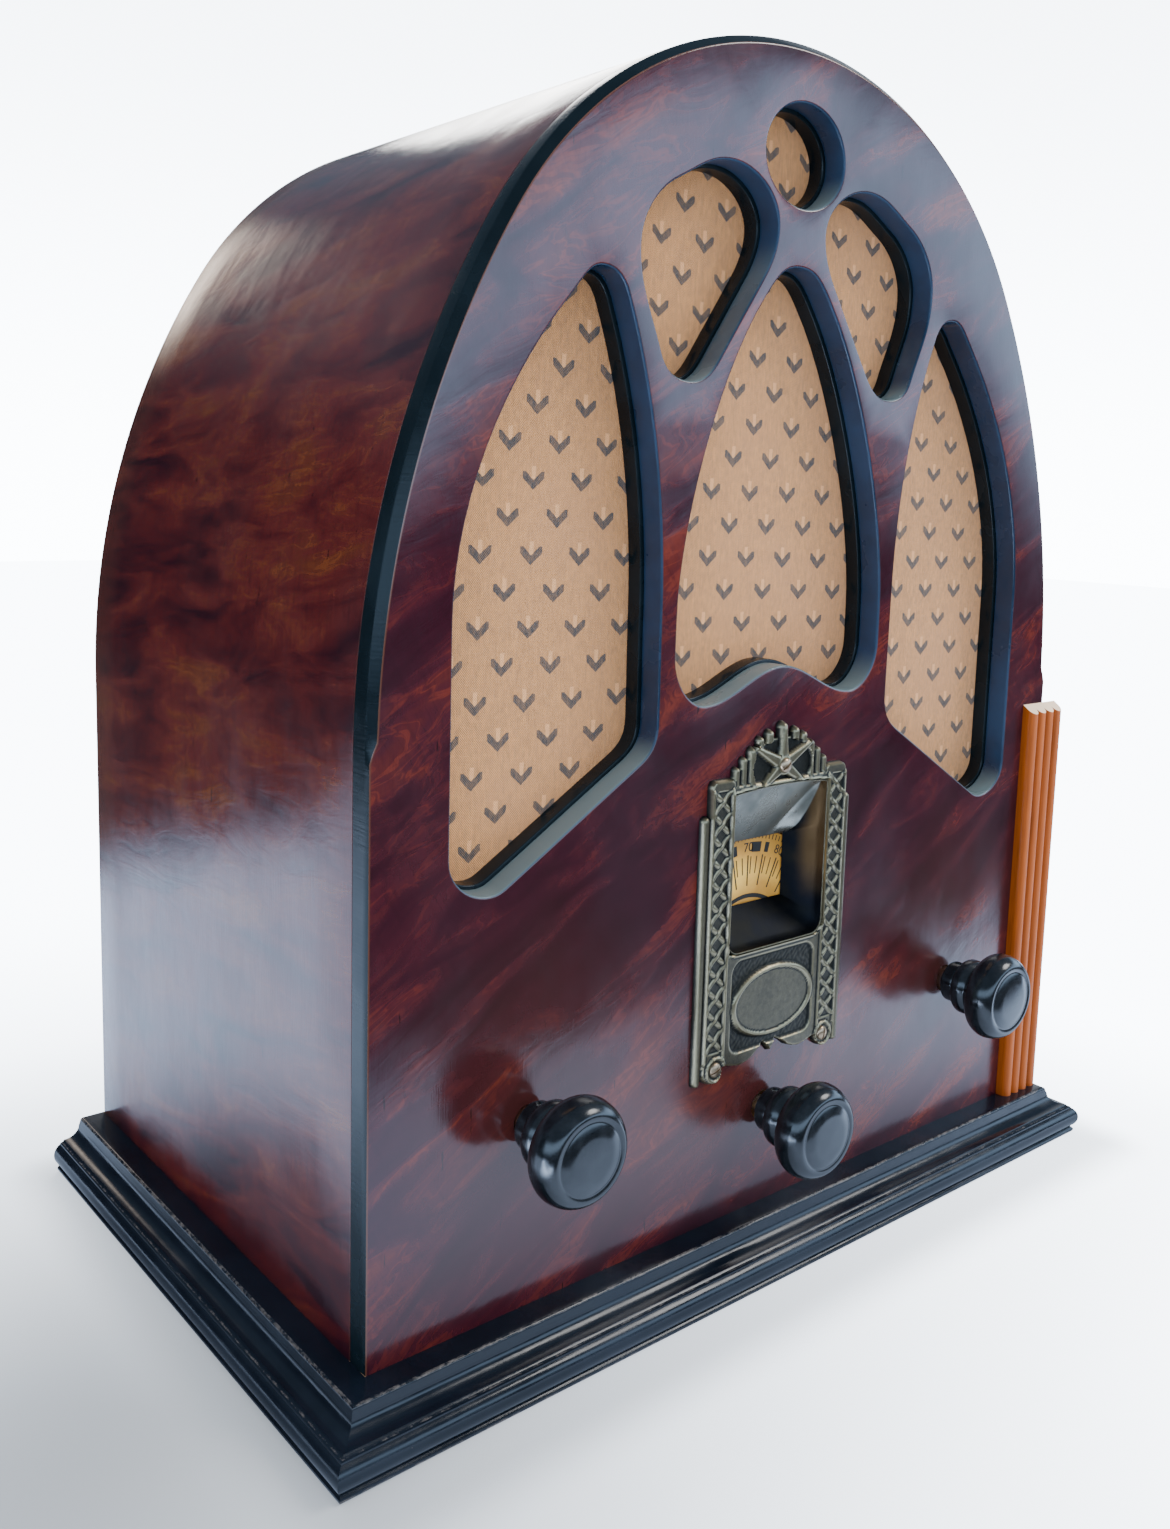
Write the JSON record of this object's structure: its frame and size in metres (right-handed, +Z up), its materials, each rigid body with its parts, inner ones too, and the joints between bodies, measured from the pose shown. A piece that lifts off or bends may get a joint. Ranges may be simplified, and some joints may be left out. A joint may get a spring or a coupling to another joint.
{
  "type": "table radio receiver",
  "caption": "Arched wooden table radio with cloth-backed grille windows, a funnelled dial plate and round control knobs, open at the back onto chassis and loudspeaker.",
  "frame": {"origin": "centre of the bottom of the bounding box, on the surface the plinth rests on", "axes": "+Z up, +X to the viewer's right when facing the dial, -Y out of the front, +Y out of the open back"},
  "size_m": [0.376, 0.245, 0.4303],
  "materials": {
    "raw_board": "bare plywood and pine, satin",
    "ebonised_wood": "black polished lacquer on wood",
    "wrap_veneer": "burl walnut veneer stained red, high gloss",
    "panel_veneer": "burl walnut veneer stained dark red, high gloss",
    "pilaster_wood": "orange brown varnished hardwood",
    "grille_cloth": "woven tan cloth with small dark chevrons",
    "antique_brass": "cast, dark patina with rubbed edges",
    "screw_brass": "plain brass",
    "turned_brass": "turned, satin",
    "bakelite": "moulded black phenolic, polished",
    "brown_bakelite": "pressed brown phenolic",
    "bright_steel": "zinc plated steel",
    "chassis_steel": "cadmium plated sheet, dull",
    "core_iron": "dark laminated iron",
    "black_enamel": "black stoved enamel",
    "plate_aluminium": "pressed and spun aluminium",
    "celluloid": "yellowed celluloid with black print",
    "lamp_glass": "small clear lamp with a brass cap",
    "valve_glass": "clear blown glass",
    "electrode_metal": "dark nickel sheet",
    "wound_paper": "varnished paper",
    "cone_paper": "pressed black-brown paper",
    "surround_cloth": "treated black cloth",
    "copper_wire": "enamelled copper wire",
    "braid": "brown woven cotton braid",
    "black_rubber": "black rubber"
  },
  "bodies": {
    "cabinet": {"base_board": "raw_board", "plinth_front": "ebonised_wood", "plinth_left": "ebonised_wood", "plinth_right": "ebonised_wood", "cabinet_wrap": "wrap_veneer", "rear_rib": "raw_board", "glue_blocks": "raw_board", "front_panel": "panel_veneer", "grille_board": "ebonised_wood", "grille_cloth": "grille_cloth", "speaker_board": "raw_board", "pilaster": "pilaster_wood", "dial_plate": "antique_brass", "dial_plate_screws": "screw_brass", "tuning_bush": "turned_brass", "condenser_frame": "bright_steel", "condenser_stator": "plate_aluminium", "dial_lamp": "lamp_glass", "lamp_holder": "turned_brass", "volume_control": "brown_bakelite", "tone_control": "brown_bakelite", "control_nuts": "bright_steel", "chassis": "chassis_steel", "chassis_bolts": "bright_steel", "transformer_core": "core_iron", "transformer_coil": "wound_paper", "transformer_covers": "black_enamel", "filter_cans": "plate_aluminium", "valve_sockets": "brown_bakelite", "valve_bases": "bakelite", "valve_glass": "valve_glass", "valve_electrodes": "electrode_metal", "valve_shields": "plate_aluminium", "grid_caps": "turned_brass", "coil_cans": "plate_aluminium", "speaker_basket": "black_enamel", "speaker_surround": "surround_cloth", "cone_spider": "wound_paper", "field_pot": "black_enamel", "field_coil": "copper_wire", "output_transformer": "core_iron", "speaker_bolts": "bright_steel", "speaker_cable": "braid", "terminal_strip": "brown_bakelite", "grommets": "black_rubber"},
    "dial": {"dial_scale": "celluloid", "dial_hub": "bright_steel", "condenser_rotor": "plate_aluminium"},
    "tuning_control": {"tuning_knob": "bakelite", "tuning_shaft": "bright_steel", "tuning_set_screw": "bright_steel"},
    "volume_knob_body": {"volume_knob": "bakelite", "volume_shaft": "bright_steel", "volume_set_screw": "bright_steel"},
    "tone_knob_body": {"tone_knob": "bakelite", "tone_shaft": "bright_steel", "tone_set_screw": "bright_steel"},
    "cone": {"speaker_cone": "cone_paper", "voice_coil": "copper_wire"}
  },
  "joints": [
    {"name": "dial_turn", "type": "hinge", "parent": "cabinet", "child": "dial", "pos_m": [0, -0.0295, 0.112], "axis": [0, 1, 0], "range_deg": [-90, 90]},
    {"name": "tuning_turn", "type": "hinge", "parent": "cabinet", "child": "tuning_control", "pos_m": [0, -0.0895, 0.0578], "axis": [0, 1, 0], "range_deg": [-500, 500]},
    {"name": "volume_turn", "type": "hinge", "parent": "cabinet", "child": "volume_knob_body", "pos_m": [-0.109, -0.0895, 0.083], "axis": [0, 1, 0], "range_deg": [0, 300]},
    {"name": "tone_turn", "type": "hinge", "parent": "cabinet", "child": "tone_knob_body", "pos_m": [0.109, -0.0895, 0.083], "axis": [0, 1, 0], "range_deg": [-150, 150]},
    {"name": "cone_slide", "type": "slide", "parent": "cabinet", "child": "cone", "axis": [0, 1, 0], "range_m": [-0.001, 0.001], "stiffness_N_per_m": 1500}
  ],
  "couplings": [
    {"joint": "tuning_turn", "follows": "dial_turn", "ratio": -5.5}
  ]
}
